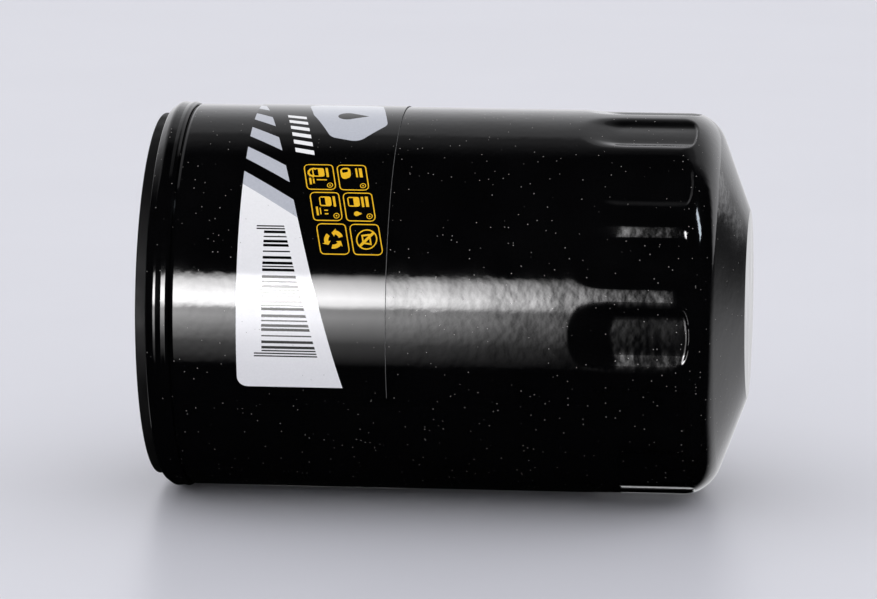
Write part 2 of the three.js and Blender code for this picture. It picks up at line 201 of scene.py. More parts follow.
def extruded(outer, inner, start, end):
    """A closed band between two loops of (radial, sideways) points at the front, run along the axis."""
    count = len(outer)
    points = [(x, -a, b) for x in (start, end) for loop in (outer, inner) for a, b in loop]
    near_out, near_in, far_out, far_in = (k * count for k in range(4))
    faces = []
    for i in range(count):
        j = (i + 1) % count
        faces.append([near_out + i, near_out + j, far_out + j, far_out + i])
        faces.append([near_in + j, near_in + i, far_in + i, far_in + j])
        faces.append([near_out + j, near_out + i, near_in + i, near_in + j])
        faces.append([far_out + i, far_out + j, far_in + j, far_in + i])
    return points, faces


def coil(wire, start, end, start_radius, end_radius, turns, per_turn=40, sides=12):
    """A coil spring between two faces, whose end turns lie close."""
    steps = round(turns * per_turn)
    path = []
    for i in range(steps + 1):
        t = i / steps
        eased = t - 0.8 * math.sin(2 * math.pi * t) / (2 * math.pi)
        x = start + wire / 2 + (end - start - wire) * eased
        radius = start_radius + (end_radius - start_radius) * eased
        path.append(Vector(spun(x, radius, 360 * turns * t)))
    points = []
    for i, centre in enumerate(path):
        along = (path[min(i + 1, steps)] - path[max(i - 1, 0)]).normalized()
        outward = Vector((0, centre.y, centre.z)).normalized()
        outward = (outward - along * outward.dot(along)).normalized()
        sideways = along.cross(outward)
        for k in range(sides):
            turn = 2 * math.pi * k / sides
            arm = outward * math.cos(turn) + sideways * math.sin(turn)
            points.append(tuple(centre + arm * (wire / 2)))
    faces = [list(range(sides))[::-1], [steps * sides + k for k in range(sides)]]
    for i in range(steps):
        for k in range(sides):
            side, beside = i * sides + k, i * sides + (k + 1) % sides
            faces.append([side, beside, beside + sides, side + sides])
    return points, faces


def new_mesh(name, shape):
    """A mesh in metres from points in mm and faces, with its normals outwards."""
    points, faces = shape
    mesh = bpy.data.meshes.new(name)
    mesh.from_pydata((np.array(points) * MM).tolist(), [], faces)
    work = bmesh.new()
    work.from_mesh(mesh)
    bmesh.ops.recalc_face_normals(work, faces=work.faces)
    work.to_mesh(mesh)
    work.free()
    return mesh


def carved(shape, cutters):
    """The shape with closed cutters taken away, as points in mm and faces."""
    solid = bpy.data.objects.new("solid", new_mesh("solid", shape))
    tool_points, tool_faces = [], []
    for points, faces in cutters:
        first = len(tool_points)
        tool_points += points
        tool_faces += [[first + i for i in face] for face in faces]
    tool = bpy.data.objects.new("tool", new_mesh("tool", (tool_points, tool_faces)))
    for obj in (solid, tool):
        bpy.context.scene.collection.objects.link(obj)
    cut = solid.modifiers.new("cut", "BOOLEAN")
    cut.operation = "DIFFERENCE"
    cut.solver = "EXACT"
    cut.object = tool
    graph = bpy.context.evaluated_depsgraph_get()
    result = solid.evaluated_get(graph).to_mesh()
    points = [tuple(v.co / MM) for v in result.vertices]
    faces = [list(p.vertices) for p in result.polygons]
    solid.evaluated_get(graph).to_mesh_clear()
    for obj in (solid, tool):
        bpy.data.objects.remove(obj)
    return points, faces


def moved(shape, front=0.0, turn=0.0):
    """A shape shifted out to the front, then turned round the axis."""
    c, s = math.cos(math.radians(turn)), math.sin(math.radians(turn))
    points, faces = shape
    placed = []
    for x, y, z in points:
        y -= front
        placed.append((x, y * c + z * s, z * c - y * s))
    return placed, faces


def put(node, mesh, materials, body=None, sharp=38):
    """Makes the mesh a piece that stands for a CAD node and rides on its body."""
    for material in materials:
        mesh.materials.append(material)
    if sharp:
        mesh.polygons.foreach_set("use_smooth", [True] * len(mesh.polygons))
        mesh.set_sharp_from_angle(angle=math.radians(sharp))
    piece = bpy.data.objects.new(f"{node}_fine", mesh)
    bpy.context.scene.collection.objects.link(piece)
    if body:
        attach(piece, body)
    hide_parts(node)
    return piece


# ---------------------------------------------------------------- materials


class Nodes:
    """A node tree that grows by one node for each call."""

    def __init__(self, tree):
        self.tree = tree

    def add(self, kind, inputs, output=0, **settings):
        """A node with its settings and inputs, and the output that is wanted."""
        node = self.tree.nodes.new(f"ShaderNode{kind}")
        for name, value in settings.items():
            setattr(node, name, value)
        for key, value in inputs.items():
            socket = node.inputs[key]
            if isinstance(value, bpy.types.NodeSocket):
                self.tree.links.new(value, socket)
            else:
                socket.default_value = value
        return node.outputs[output]

    def parts(self, vector):
        """The X, Y and Z of a vector."""
        node = self.add("SeparateXYZ", {0: vector}).node
        return [node.outputs[axis] for axis in "XYZ"]

    def ramp(self, value, low, high, to_low=0.0, to_high=1.0, easing="SMOOTHSTEP"):
        """The value brought from one range to another."""
        inputs = {0: value, 1: low, 2: high, 3: to_low, 4: to_high}
        return self.add("MapRange", inputs, interpolation_type=easing)

    def math(self, operation, a, b=0.0):
        return self.add("Math", {0: a, 1: b}, operation=operation)

    def times(self, a, b):
        return self.math("MULTIPLY", a, b)

    def plus(self, a, b):
        return self.math("ADD", a, b)


class Look(Nodes):
    """A material built over the object's own coordinates."""

    def __init__(self, name, **shader_values):
        self.material = bpy.data.materials.new(name)
        self.material.use_nodes = True
        super().__init__(self.material.node_tree)
        self.shader = self.tree.nodes["Principled BSDF"]
        for socket, value in shader_values.items():
            self.shader.inputs[socket.replace("_", " ")].default_value = value
        self.place = self.tree.nodes.new("ShaderNodeTexCoord").outputs["Object"]

    def noise(self, size, detail=2.0, vector=None):
        """Noise whose blotches are about size mm across."""
        inputs = {"Vector": vector or self.place, "Scale": 1 / (size * MM), "Detail": detail}
        return self.add("TexNoise", inputs)

    def mix(self, factor, a, b):
        """A colour between two colours, given as tuples or sockets."""
        node = self.tree.nodes.new("ShaderNodeMix")
        node.data_type = "RGBA"
        for socket, value in ((node.inputs[0], factor), (node.inputs[6], a), (node.inputs[7], b)):
            if isinstance(value, bpy.types.NodeSocket):
                self.tree.links.new(value, socket)
            elif isinstance(value, tuple):
                socket.default_value = (*value, 1.0)
            else:
                socket.default_value = value
        return node.outputs[2]

    def bump(self, height, depth, after=None):
        """Bump of a height from 0 to 1 that is depth mm deep, on top of another bump."""
        inputs = {"Height": height, "Distance": depth * MM, "Strength": 1.0}
        if after:
            inputs["Normal"] = after
        return self.add("Bump", inputs)

    def finish(self, **links):
        for socket, value in links.items():
            self.tree.links.new(value, self.shader.inputs[socket.replace("_", " ")])
        return self.material


def dust(look, grain, keep):
    """1 on sparse dust specks, which are about grain mm across, and 0 between them."""
    cells = {"Vector": look.place, "Scale": 1 / (5 * grain * MM)}
    near = look.add("TexVoronoi", cells, "Distance")
    chosen = look.add("TexVoronoi", cells, "Color")
    chosen = look.add("SeparateColor", {0: chosen})
    speck = look.ramp(near, 0.06, 0.12, 1.0, 0.0)
    return look.times(speck, look.math("GREATER_THAN", chosen, 1 - keep))


def enamel():
    """Black gloss enamel, sprayed: orange peel, dull patches, and dust that has settled on it."""
    look = Look("black_enamel", IOR=1.5)
    waves = look.noise(8.0, detail=0.0)
    peel = look.noise(1.6, detail=0.0)
    fine = look.noise(0.6, detail=0.0)
    height = look.bump(waves, 0.05)
    height = look.bump(peel, 0.012, height)
    height = look.bump(fine, 0.0022, height)
    cloudy = look.noise(14.0, detail=3.0)
    speck = dust(look, 0.22, 0.30)
    tone = look.mix(cloudy, (0.0008, 0.0008, 0.0010), (0.0020, 0.0020, 0.0023))
    colour = look.mix(speck, tone, (0.42, 0.40, 0.38))
    sheen = look.ramp(cloudy, 0.3, 0.7, 0.055, 0.105)
    dull = look.times(speck, 0.6)
    return look.finish(Base_Color=colour, Roughness=look.plus(sheen, dull), Normal=height)


def print_ink(name, colour, other, roughness=0.085):
    """Glossy printed film: even ink with a faint mottle and the film's slight waviness."""
    look = Look(name, IOR=1.5)
    mottle = look.noise(0.5, detail=3.0)
    waves = look.noise(5.0, detail=1.0)
    speck = dust(look, 0.2, 0.12)
    tone = look.mix(look.ramp(mottle, 0.3, 0.7), colour, other)
    tone = look.mix(speck, tone, (0.22, 0.21, 0.2))
    sheen = look.ramp(mottle, 0.3, 0.7, roughness * 0.8, roughness * 1.2)
    height = look.bump(waves, 0.012)
    height = look.bump(mottle, 0.0006, height)
    return look.finish(Base_Color=tone, Roughness=sheen, Normal=height)


def rubber(name, colour, other, roughness, grain=0.25):
    """Moulded rubber: a matt skin with fine grain and slightly shiny patches."""
    look = Look(name, IOR=1.25)
    skin = look.noise(grain, detail=4.0)
    patches = look.noise(7.0, detail=3.0)
    tone = look.mix(patches, colour, other)
    sheen = look.ramp(patches, 0.3, 0.7, roughness - 0.1, roughness + 0.1)
    return look.finish(Base_Color=tone, Roughness=sheen, Normal=look.bump(skin, 0.012))


def axis_radius(look):
    """Distance from the filter's axis, in mm."""
    _, y, z = look.parts(look.place)
    total = look.plus(look.times(y, y), look.times(z, z))
    return look.times(look.math("SQRT", total), 1 / MM)


def machined_steel():
    """Bare steel with concentric tool marks, a film of oil and a little rust staining."""
    look = Look("machined_steel", Metallic=1.0)
    radius = axis_radius(look)
    rings = look.add("CombineXYZ", {0: radius, 1: 0.0, 2: 0.0})
    marks = look.add("TexNoise", {"Vector": rings, "Scale": 4.0, "Detail": 3.0})
    stain = look.noise(6.0, detail=5.0)
    tone = look.mix(look.ramp(stain, 0.52, 0.75), (0.42, 0.425, 0.43), (0.25, 0.20, 0.155))
    sheen = look.ramp(stain, 0.3, 0.8, 0.26, 0.5)
    return look.finish(Base_Color=tone, Roughness=sheen, Normal=look.bump(marks, 0.02))


def plated_sheet():
    """Zinc-plated sheet with soft spangle and handling scuffs."""
    look = Look("zinc_sheet", Metallic=1.0)
    spangle = look.add("TexVoronoi", {"Vector": look.place, "Scale": 1 / (2.5 * MM)}, "Color")
    grey = look.add("SeparateColor", {0: spangle})
    scuff = look.noise(1.2, detail=5.0)
    tone = look.mix(grey, (0.50, 0.51, 0.50), (0.62, 0.63, 0.61))
    sheen = look.ramp(scuff, 0.3, 0.7, 0.28, 0.46)
    return look.finish(Base_Color=tone, Roughness=sheen, Normal=look.bump(scuff, 0.006))


def rolled_steel():
    """Cold-rolled strip: long draw lines along the axis under a thin grey oxide."""
    look = Look("rolled_steel", Metallic=1.0)
    stretch = look.add("Mapping", {"Vector": look.place, "Scale": (0.06, 1.0, 1.0)})
    lines = look.noise(0.4, detail=4.0, vector=stretch)
    patches = look.noise(8.0, detail=3.0)
    tone = look.mix(patches, (0.36, 0.365, 0.37), (0.48, 0.485, 0.49))
    sheen = look.ramp(lines, 0.3, 0.7, 0.25, 0.45)
    return look.finish(Base_Color=tone, Roughness=sheen, Normal=look.bump(lines, 0.006))


def spring_wire():
    """Drawn spring wire, dark from tempering, with fine pits."""
    look = Look("spring_wire", Metallic=1.0)
    pits = look.noise(0.15, detail=4.0)
    temper = look.noise(5.0, detail=2.0)
    tone = look.mix(temper, (0.16, 0.155, 0.15), (0.26, 0.24, 0.225))
    sheen = look.ramp(pits, 0.3, 0.7, 0.28, 0.42)
    return look.finish(Base_Color=tone, Roughness=sheen, Normal=look.bump(pits, 0.006))


def resin_paper():
    """Resin-cured filter paper: fibres, cure blotches and fine cross creases."""
    look = Look("resin_paper", IOR=1.4)
    fibres = look.noise(0.3, detail=6.0)
    blotches = look.noise(12.0, detail=3.0)
    creases = look.add("TexWave", {"Vector": look.place, "Scale": 130.0, "Distortion": 1.5})
    tone = look.mix(blotches, (0.56, 0.42, 0.20), (0.66, 0.53, 0.29))
    tone = look.mix(look.ramp(fibres, 0.55, 0.8, 0.0, 0.4), tone, (0.40, 0.28, 0.13))
    height = look.bump(creases, 0.05, look.bump(fibres, 0.05))
    sheen = look.ramp(fibres, 0.3, 0.7, 0.75, 0.95)
    return look.finish(Base_Color=tone, Roughness=sheen, Normal=height)


def plastisol():
    """Cured potting adhesive: a low-gloss skin with pulled waves and small pores."""
    look = Look("plastisol", IOR=1.46)
    waves = look.noise(3.0, detail=3.0)
    pores = look.add("TexVoronoi", {"Vector": look.place, "Scale": 1 / (0.9 * MM)}, "Distance")
    tone = look.mix(waves, (0.030, 0.045, 0.050), (0.050, 0.070, 0.078))
    height = look.bump(look.ramp(pores, 0.05, 0.2), 0.03, look.bump(waves, 0.15))
    sheen = look.ramp(waves, 0.3, 0.7, 0.38, 0.6)
    return look.finish(Base_Color=tone, Roughness=sheen, Normal=height)


# ---------------------------------------------------------------- the can

BODY_RADIUS = 46.0
NECK_RADIUS = BODY_RADIUS - WALL  # where the seam grips the can
FLUTE_COUNT = 15
FLUTE_PITCH = 360 / FLUTE_COUNT
FLUTE_PHASE = 0.6  # degrees, of the flute that faces front
FLUTE_HALF = 10.3  # degrees, half a flute's width
FLUTE_FLOOR = 0.45  # share of the half width that is flat
FLUTE_DEPTH = 1.2
FLUTE_START, FLUTE_FULL = 102.0, 112.0
FLUTE_END = 130.8
CORNER_START, CORNER_RADIUS = 126.5, 10.0
DOME_SLOPE = 20.5  # degrees, of the cone, from the flat end


def can_meridian():
    """The can's outer face from its rim to the axis, as (x, radius) points."""
    shoulder = rounded(
        [(CAN.start, NECK_RADIUS, 0), (8.2, NECK_RADIUS, 0.5), (9.5, BODY_RADIUS, 0.8), (14, BODY_RADIUS, 0)],
        closed=False,
    )
    plain = [(x, BODY_RADIUS) for x in range(20, 101, 10)]
    sinking = [(x, BODY_RADIUS) for x in np.arange(FLUTE_START - 0.5, FLUTE_FULL + 3, 0.5)]
    full = [(x, BODY_RADIUS) for x in np.arange(FLUTE_FULL + 3, CORNER_START - 1, 2)]
    corner = []
    for k in range(49):
        turn = math.radians(k / 48 * (90 - DOME_SLOPE))
        radius = BODY_RADIUS - CORNER_RADIUS * (1 - math.cos(turn))
        corner.append((CORNER_START + CORNER_RADIUS * math.sin(turn), radius))
    x, radius = corner[-1]
    flat_radius = radius - (CAN.end - x) / math.tan(math.radians(DOME_SLOPE))
    cone = [(x + (CAN.end - x) * k / 6, radius + (flat_radius - radius) * k / 6) for k in range(1, 6)]
    edge = rounded([(*cone[-1], 0), (CAN.end, flat_radius, 0.8), (CAN.end, 0, 0)], closed=False)
    flat = [(CAN.end, flat_radius * share) for share in (0.9, 0.7, 0.45, 0.2)]
    return shoulder + plain + sinking + full + corner + cone + edge[1:-1] + flat + [(CAN.end, 0.0)]


def flute_columns():
    """Angles round the can, closer together on the sides of the flutes."""
    half, floor = FLUTE_HALF, FLUTE_HALF * FLUTE_FLOOR
    across = np.concatenate([
        np.linspace(-half, -floor, 8, endpoint=False),
        np.linspace(-floor, floor, 6, endpoint=False),
        np.linspace(floor, half, 8, endpoint=False),
        np.linspace(half, FLUTE_PITCH - half, 3, endpoint=False),
    ])
    return np.concatenate([FLUTE_PHASE + k * FLUTE_PITCH + across for k in range(FLUTE_COUNT)])


def flute_sink(x, drop, angle):
    """How far a flute presses the sheet in. The corner, which has dropped already, ends it."""
    u = (angle - FLUTE_PHASE + FLUTE_PITCH / 2) % FLUTE_PITCH - FLUTE_PITCH / 2
    u = np.abs(u / FLUTE_HALF)
    start = FLUTE_START + 3 * np.minimum(u, 1) ** 2
    end = FLUTE_END - 1.8 * np.minimum(u, 1) ** 2
    depth = 1 - smoothstep(u, FLUTE_FLOOR, 1)
    depth = depth * smoothstep(x, start, start + FLUTE_FULL - FLUTE_START)
    depth = depth * (1 - smoothstep(x, end - 1.0, end + 0.2))
    left = FLUTE_DEPTH * depth - drop
    blend = 0.15 * depth
    return (left + np.sqrt(left * left + blend * blend)) / 2


def can_shape():
    """Both faces of the drawn can's sheet, joined at its rim."""
    meridian = np.array(can_meridian())
    tangent = np.gradient(meridian, axis=0)
    tangent /= np.linalg.norm(tangent, axis=1)[:, None]
    inside = meridian - WALL * np.stack([-tangent[:, 1], tangent[:, 0]], axis=1)
    inside[-1] = (CAN.end - WALL, 0)
    inside[0] = (CAN.start, NECK_RADIUS - WALL)
    columns = flute_columns()
    beyond = meridian[:, 0] > CORNER_START
    drop = np.where(beyond, BODY_RADIUS - meridian[:, 1], 0.0)
    sink = flute_sink(meridian[:, :1], drop[:, None], columns[None, :])
    keep = sorted({0, *range(1, len(meridian), 2), len(meridian) - 1})
    outer_rows = [(meridian[i], sink[i]) for i in range(len(meridian))]
    inner_rows = [(inside[i], sink[i]) for i in reversed(keep)]
    count = len(columns)
    turn = np.radians(columns)
    points, rings = [], []
    for (x, radius), sunk in outer_rows + inner_rows:
        first = len(points)
        if radius < ON_AXIS:
            rings.append([first] * count)
            points.append((x, 0.0, 0.0))
            continue
        out = radius - sunk
        rings.append(range(first, first + count))
        points += np.stack([np.full(count, x), -out * np.cos(turn), out * np.sin(turn)], axis=1).tolist()
    return points, skinned(rings)


# ---------------------------------------------------------------- the base end

CHANNEL_OUTER, CHANNEL_INNER = 44.0, 38.95  # the gasket channel's walls
CHANNEL_FLOOR = GASKET.end + 0.3
THREAD_PITCH = 25.4 / 16
THREAD_CREST, THREAD_ROOT = PLATE.inner, 9.55
COLLAR_RADIUS = 12.0
COLLAR_ROOT = 7.5  # where the collar leaves the plate's inner face
INLET_COUNT, INLET_RADIUS, INLET_CIRCLE = 8, 3.75, 22.0


def retainer_shape():
    """The seaming lid, from the end of its outer leg over the seam and the channel to its opening."""
    half = LID_SHEET / 2
    wall = CHANNEL_OUTER + half
    line = rounded([
        (8.2, 45.86, 0),
        (7.65, 46.2, 0.45),
        (6.65, 45.97, 0.9),
        (4.85, 46.26, 1.3),
        (3.1, 45.0, 0.8),
        (2.8, wall, 0.3),
        (CHANNEL_FLOOR + half, wall, 0.7),
        (CHANNEL_FLOOR + half, CHANNEL_INNER - half, 0.7),
        (LID.start + half + 0.5, CHANNEL_INNER - half, 0.7),
        (LID.start + half + 0.5, LID.inner, 0),
    ], closed=False)
    return lathe(thick(line, LID_SHEET), 180)


def gasket_shape():
    """The gasket, with moulded edges and a slight crown on its sealing face."""
    middle = (GASKET.inner + GASKET.outer) / 2
    return lathe(rounded([
        (GASKET.start + 0.12, GASKET.inner, 0.45),
        (GASKET.start, middle, 6),
        (GASKET.start + 0.12, GASKET.outer, 0.45),
        (GASKET.end, GASKET.outer, 0.3),
        (GASKET.end, GASKET.inner, 0.3),
    ]), 180)


def thread_radius(x, angle):
    """The thread's surface at a place in the bore, with a lead-in cone at each mouth."""
    turn = (x / THREAD_PITCH - angle / 360) % 1
    flank = np.clip(abs(2 * turn - 1) * 1.45 - 0.2, 0, 1)
    radius = THREAD_CREST + (THREAD_ROOT - THREAD_CREST) * flank
    mouth = min(x - PLATE.start, PLATE.end - x)
    return max(radius, THREAD_ROOT + 0.25 - mouth)


def plate_shape():
    """The base plate: threaded bore, rolled collar, and inlet holes with broken edges."""
    rows = 78
    outline = rounded([
        (PLATE.start, THREAD_ROOT + 0.25, 0),
        (PLATE.start, PLATE.outer, 0.6),
        (COLLAR_ROOT, PLATE.outer, 0.6),
        (COLLAR_ROOT, COLLAR_RADIUS, 0.25),
        (PLATE.end, COLLAR_RADIUS, 0.5),
        (PLATE.end, THREAD_ROOT + 0.25, 0),
    ], closed=False)
    points, faces = lathe(outline + [(0, 1)] * rows, SMALL)
    first = len(outline) * SMALL
    for row in range(rows):
        x = PLATE.end + (PLATE.start - PLATE.end) * (row + 1) / (rows + 1)
        for i in range(SMALL):
            angle = 360 * i / SMALL
            points[first + row * SMALL + i] = spun(x, thread_radius(x, angle), angle)
    wide = INLET_RADIUS + 0.6
    cutter = lathe([
        (PLATE.start - 1, 0), (PLATE.start - 1, wide + 0.5), (PLATE.start + 0.5, INLET_RADIUS),
        (COLLAR_ROOT - 0.4, INLET_RADIUS), (COLLAR_ROOT + 1, wide + 0.8), (COLLAR_ROOT + 1, 0),
    ], 36)
    holes = [moved(cutter, front=INLET_CIRCLE, turn=-360 * i / INLET_COUNT) for i in range(INLET_COUNT)]
    return carved((points, faces), holes)


def drainback_shape():
    """The check valve: a sleeve with a bead, and a thin lip that lies on the plate."""
    valve = size_of("drainback_valve")
    seat = valve.start
    sleeve_in, sleeve_out = COLLAR_RADIUS + 0.3, COLLAR_RADIUS + 1.2
    root = seat + 1.5
    reach = INLET_CIRCLE + INLET_RADIUS + 1
    return lathe(rounded([
        (root - 0.4, sleeve_in, 0.3),
        (valve.end, sleeve_in, 0.3),
        (valve.end, sleeve_out + 0.1, 0.3),
        (root + 1.5, sleeve_out, 0.5),
        (root + 1.1, sleeve_out + 2, 1.5),
        (seat + 1.15, reach, 3),
        (seat + 0.85, valve.outer - 0.6, 0.3),
        (seat, valve.outer, 0.15),
        (seat, valve.outer - 2, 0.5),
        (seat + 0.25, reach, 3),
        (root, sleeve_out + 2, 1.5),
    ]), 120)


# ---------------------------------------------------------------- the filter element

CAP_SKIRT = 4.5
NECK_BORE = 13.5  # radius inside the lower cap's neck
PLEATS = 36
FOLD_STEPS = 6  # facets of a fold, which bends from -78 to 78 degrees
PAPER = 0.7
TUBE_ROWS, TUBE_HOLES, TUBE_HOLE = 5, 6, 2.4


def cap_shape(node, disc, towards, edge):
    """A stamped end cap: skirt, rounded shoulder, and a disc at x with the rest of its line."""
    skirt = size_of(node).outer - CAP_SHEET / 2
    line = [(disc + towards * CAP_SKIRT, skirt, 0), (disc, skirt, 0.8)]
    line += [(disc + dx, radius, fillet) for dx, radius, fillet in edge]
    return lathe(thick(rounded(line, closed=False), CAP_SHEET))


def pleat_loops():
    """Both faces of the pleated paper, as loops of (radial, sideways) points."""
    folds = ((MEDIA.outer - PAPER / 2, 1, 0.75), (MEDIA.inner + PAPER / 2 + 0.1, -1, 0.45))
    middle = []
    for i in range(PLEATS * 2):
        radius, sign, bend = folds[i % 2]
        turn = math.pi * i / PLEATS
        outward = Vector((math.cos(turn), math.sin(turn)))
        sideways = Vector((-outward.y, outward.x))
        centre = outward * (radius - sign * bend)
        for k in range(FOLD_STEPS + 1):
            arc = math.radians(-78 + 156 / FOLD_STEPS * k)
            arm = outward * (sign * bend * math.cos(arc)) + sideways * (bend * math.sin(arc))
            middle.append(centre + arm)
    loops = ([], [])
    for i, point in enumerate(middle):
        along = (middle[(i + 1) % len(middle)] - middle[i - 1]).normalized()
        across = Vector((along.y, -along.x)) * (PAPER / 2)
        loops[0].append(tuple(point + across))
        loops[1].append(tuple(point - across))
    return loops


def clip_shape():
    """The folded strip over the outer fold where the paper's two ends meet."""
    clip = size_of("media_seam_clip")
    sheet, half_width, length = 0.35, 1.75, 3.0
    out = MEDIA.outer + 0.3 + sheet / 2
    side = half_width - sheet / 2
    line = rounded([
        (out - length, -side, 0), (out, -side, 0.5), (out, side, 0.5), (out - length, side, 0),
    ], closed=False)
    outline = thick(line, sheet)
    half = len(line)
    outer, inner = outline[:half], outline[half + 1:-1][::-1]
    return strip(outer, inner, clip.start, clip.end)


def strip(outer, inner, start, end):
    """A solid strip between two open lines of (radial, sideways) points, run along the axis."""
    loop = outer + inner[::-1]
    count = len(loop)
    points = [(x, -a, b) for x in (start, end) for a, b in loop]
    faces = [[i, (i + 1) % count, count + (i + 1) % count, count + i] for i in range(count)]
    for i in range(len(outer) - 1):
        quad = [i, i + 1, count - 2 - i, count - 1 - i]
        faces.append(quad[::-1])
        faces.append([count + k for k in quad])
    return points, faces


def tube_shape():
    """The perforated centre tube."""
    wall = [(TUBE.start, TUBE.inner, 0), (TUBE.start, TUBE.outer, 0.15)]
    wall += [(TUBE.end, TUBE.outer, 0.15), (TUBE.end, TUBE.inner, 0)]
    punch = []
    for row in range(TUBE_ROWS):
        along = TUBE.start + (TUBE.end - TUBE.start) * (row + 0.5) / TUBE_ROWS
        for i in range(TUBE_HOLES):
            turn = 360 * (i + (row % 2) / 2) / TUBE_HOLES
            punch.append(radial_pin(along, turn, TUBE_HOLE, TUBE.inner - 2, TUBE.outer + 2))
    return carved(lathe(rounded(wall, steps=2), 90), punch)


def radial_pin(x, turn, radius, near, far, sides=20):
    """A round pin that points outwards from the axis."""
    turns = [2 * math.pi * k / sides for k in range(sides)]
    outline = [(x + radius * math.cos(t), radius * math.sin(t)) for t in turns]
    return moved(prism(outline, near, far), turn=turn)


# ---------------------------------------------------------------- the bypass valve

WINDOW, WINDOW_COUNT = 9.0, 4
CAGE_RADIUS = 12.6  # outside of the cage's drawn wall


def cage_shape():
    """The valve's cage: flange, drawn wall with four windows, and a floor with a guide hole."""
    half = CAP_SHEET / 2
    wall = CAGE_RADIUS - half
    line = rounded([
        (CAGE.end - half, CAGE.outer, 0),
        (CAGE.end - half, wall, 0.6),
        (CAGE.start + half, wall, 0.9),
        (CAGE.start + half, CAGE.inner, 0),
    ], closed=False)
    middle = (CAGE.start + CAGE.end) / 2
    windows = []
    for i in range(WINDOW_COUNT):
        turn = 360 * (i + 0.5) / WINDOW_COUNT
        corner = [(s * WINDOW / 2, t * WINDOW / 2, 1.0) for s, t in ((-1, -1), (1, -1), (1, 1), (-1, 1))]
        outline = [(middle + a, b) for a, b in rounded(corner)]
        windows.append(moved(prism(outline, wall - 5, wall + 5), turn=turn))
    return carved(lathe(thick(line, CAP_SHEET), SMALL), windows)


def rivet_shape():
    """The guide rivet, with a domed head and a chamfered tip."""
    rivet = size_of("bypass_valve_rivet")
    head = rivet.end - 1.1
    return lathe(rounded([
        (rivet.start, 0, 0),
        (rivet.start, 1.9, 0.2),
        (rivet.start + 0.4, 2.3, 0.2),
        (head, 2.3, 0),
        (head, rivet.outer, 0.2),
        (rivet.end - 0.2, rivet.outer - 0.9, 0.6),
        (rivet.end, 0, 0),
    ], closed=False), 48)


# ---------------------------------------------------------------- the label's print

FILM_FROM, FILM_WRAP = -20.0, 300.0  # degrees
FILM_STEP = 2.0  # degrees between the lines that make the flat film round
FILM_EDGE = 0.13  # mm, of bare film at the edge towards the dome
ARC = 2 * math.pi * FILM.outer / 360  # mm of film for a degree round the can
BLACK, WHITE, GREY, GOLD, EDGE = range(5)
STRIPE_FALL = 0.807  # degrees that a stripe's edges fall for each mm along the can
FRAME_WIDTH, FRAME_HEIGHT = 7.05, 9.5  # mm along the can, degrees round it
FRAME_SLANT = 0.21  # mm along the can for each mm down the label
GOLD_LINE = 0.26  # mm
SLANT_X, SLANT_ANGLE, SLANT_RATE = 36.9, 39.4, 0.2195  # a point of the slanted line, mm per degree
STRIPE_PITCH, STRIPE_HEIGHT, STRIPE_COUNT = 10.37, 5.2, 4  # degrees
PANEL_TOP, PANEL_BOTTOM, PANEL_CORNER = 45.1, -16.9, 2.4  # degrees, degrees and mm
BAR_COUNT, BAR_MODULE, BAR_TOP = 30, 0.405, 31.5  # bars, and the narrowest and the first, degrees
BAR_LEFT, GUARD_LEFT, BAR_MARGIN = 30.4, 28.6, 3.6  # mm


def slanted(angle):
    """Where the slanted line that ends the white panel and the stripes lies along the can."""
    return SLANT_X + SLANT_RATE * (SLANT_ANGLE - angle)


def on_slanted(top):
    """Where a stripe's edge that starts at the film's left edge meets the slanted line."""
    x = (slanted(top + STRIPE_FALL * FILM.start)) / (1 - SLANT_RATE * STRIPE_FALL)
    return (x, top - STRIPE_FALL * (x - FILM.start))


def stripe(colour, top, height):
    """A slanting stripe from the film's left edge to the slanted line."""
    low = top - height
    return (colour, [(FILM.start, top), on_slanted(top), on_slanted(low), (FILM.start, low)])


def soft(points, fillet, steps=5):
    """A polygon of (x, angle) with its corners rounded by a radius in mm."""
    corners = [(x, angle * ARC, fillet) for x, angle in points]
    return [(x, s / ARC) for x, s in rounded(corners, steps=steps)]


def panel_art():
    """The white panel, the grey band on it, and the four stripes above."""
    left = [(FILM.start, PANEL_TOP), on_slanted(PANEL_TOP)]
    right = [(slanted(PANEL_BOTTOM), PANEL_BOTTOM)]
    corner = []
    for k in range(7):
        turn = math.radians(270 - 15 * k)
        x = FILM.start + PANEL_CORNER * (1 + math.cos(turn))
        corner.append((x, PANEL_BOTTOM + (PANEL_CORNER * (1 + math.sin(turn))) / ARC))
    art = [(WHITE, left + right + corner)]
    art.append(stripe(GREY, 49.9, 4.8))
    for k in range(STRIPE_COUNT):
        art.append(stripe(GREY, 60.1 + STRIPE_PITCH * k, STRIPE_HEIGHT))
    return art


def barcode_art():
    """Bars and gaps of made-up widths, stacked down the panel. It encodes nothing."""
    angle = BAR_TOP
    art = []
    for i in range(BAR_COUNT):
        is_guard = i in (0, 1, BAR_COUNT // 2 - 1, BAR_COUNT // 2, BAR_COUNT - 2, BAR_COUNT - 1)
        bar = BAR_MODULE if is_guard else BAR_MODULE * (1 + (i * i + 3 * i) % 3)
        gap = BAR_MODULE if is_guard else BAR_MODULE * (1 + (i * 5 + i // 3) % 3)
        left = GUARD_LEFT if is_guard else BAR_LEFT
        low = angle - bar
        right = (slanted(angle) - BAR_MARGIN, slanted(low) - BAR_MARGIN)
        art.append((BLACK, [(left, angle), (right[0], angle), (right[1], low), (left, low)]))
        angle = low - gap
    return art


